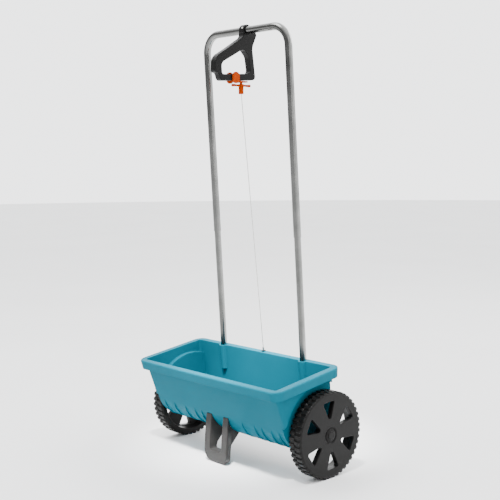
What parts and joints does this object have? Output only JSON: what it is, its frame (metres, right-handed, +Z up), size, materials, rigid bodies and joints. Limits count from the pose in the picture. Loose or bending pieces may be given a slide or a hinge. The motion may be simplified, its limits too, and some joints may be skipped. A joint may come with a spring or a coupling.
{
  "type": "drop spreader",
  "caption": "Walk-behind drop spreader: trough hopper on wheels and a front foot, bent tube handle, hand lever that opens a bottom shutter by a wire.",
  "frame": {"origin": "on the ground, under the middle of the object's box", "axes": "+Z up, +X along the axle to the right-hand wheel seen from behind, -Y to the front where the foot is, +Y to the user's side"},
  "size_m": [0.536, 0.258, 1.0356],
  "materials": {
    "hopper_plastic": "fine-grained satin",
    "grey_plastic": "satin",
    "dark_plastic": "satin",
    "black_plastic": "matt",
    "orange_plastic": "semi-gloss",
    "zinc_tube": "bright zinc, faint drawing lines",
    "steel_hardware": "plain zinc"
  },
  "bodies": {
    "hopper_frame": {"hopper": "hopper_plastic", "foot": "grey_plastic", "foot_screw_left": "steel_hardware", "foot_screw_right": "steel_hardware", "bearing_left": "black_plastic", "bearing_right": "black_plastic", "shutter_rail_left": "black_plastic", "shutter_rail_right": "black_plastic", "rail_screw_left_1": "steel_hardware", "rail_screw_left_2": "steel_hardware", "rail_screw_right_1": "steel_hardware", "rail_screw_right_2": "steel_hardware", "wire_guide": "black_plastic", "lower_tube_left": "zinc_tube", "lower_tube_right": "zinc_tube", "tube_screw_left": "steel_hardware", "tube_screw_right": "steel_hardware", "upper_bow": "zinc_tube", "return_spring": "steel_hardware"},
    "drive": {"right_wheel": "dark_plastic", "right_hub_cap": "dark_plastic", "axle": "steel_hardware", "drive_pin": "steel_hardware", "agitator": "black_plastic", "axle_nut_left": "steel_hardware", "axle_nut_right": "steel_hardware", "axle_washer_left": "steel_hardware", "axle_washer_right": "steel_hardware"},
    "left_wheel_unit": {"left_wheel": "dark_plastic", "left_hub_cap": "dark_plastic"},
    "lever": {"dosing_lever": "dark_plastic", "lever_clip": "dark_plastic", "clip_rivet": "steel_hardware", "adjuster_saddle": "orange_plastic", "adjuster_barrel": "orange_plastic"},
    "thumb_nut": {"adjuster_nut": "orange_plastic"},
    "upper_wire": {"wire_upper": "steel_hardware"},
    "lower_wire": {"wire_lower": "steel_hardware", "wire_stop": "steel_hardware"},
    "dosing_shutter": {"shutter": "black_plastic", "shutter_pin": "steel_hardware"}
  },
  "joints": [
    {"name": "drive_spin", "type": "hinge", "parent": "hopper_frame", "child": "drive", "pos_m": [0, 0.02903, 0.1], "axis": [1, 0, 0], "continuous": true},
    {"name": "left_wheel_spin", "type": "hinge", "parent": "hopper_frame", "child": "left_wheel_unit", "pos_m": [0, 0.02903, 0.1], "axis": [1, 0, 0], "continuous": true},
    {"name": "lever_swing", "type": "hinge", "parent": "hopper_frame", "child": "lever", "pos_m": [0, 0.01883, 1.02197], "axis": [-1, 0, 0], "range_deg": [0, 19.15]},
    {"name": "wire_swing", "type": "hinge", "parent": "lever", "child": "upper_wire", "pos_m": [0, 0.00472, 0.87747], "axis": [1, 0, 0], "range_deg": [0, 23.3]},
    {"name": "wire_slide", "type": "slide", "parent": "hopper_frame", "child": "lower_wire", "axis": [0, -0.1058, 0.9944], "range_m": [0, 0.01905], "stiffness_N_per_m": 150, "springref_m": -0.01, "deforming": ["return_spring"]},
    {"name": "shutter_turn", "type": "hinge", "parent": "hopper_frame", "child": "dosing_shutter", "pos_m": [0, 0.02903, 0.1], "axis": [1, 0, 0], "range_deg": [0, 18.65]},
    {"name": "thumb_nut_turn", "type": "hinge", "parent": "lever", "child": "thumb_nut", "pos_m": [0, 0.00463, 0.89597], "axis": [0, 0, 1], "continuous": true}
  ],
  "couplings": [
    {"joint": "wire_swing", "follows": "lever_swing", "ratio": 1.2146},
    {"joint": "wire_slide", "follows": "lever_swing", "m_per_rad": 0.0569},
    {"joint": "shutter_turn", "follows": "lever_swing", "ratio": 0.9713}
  ]
}
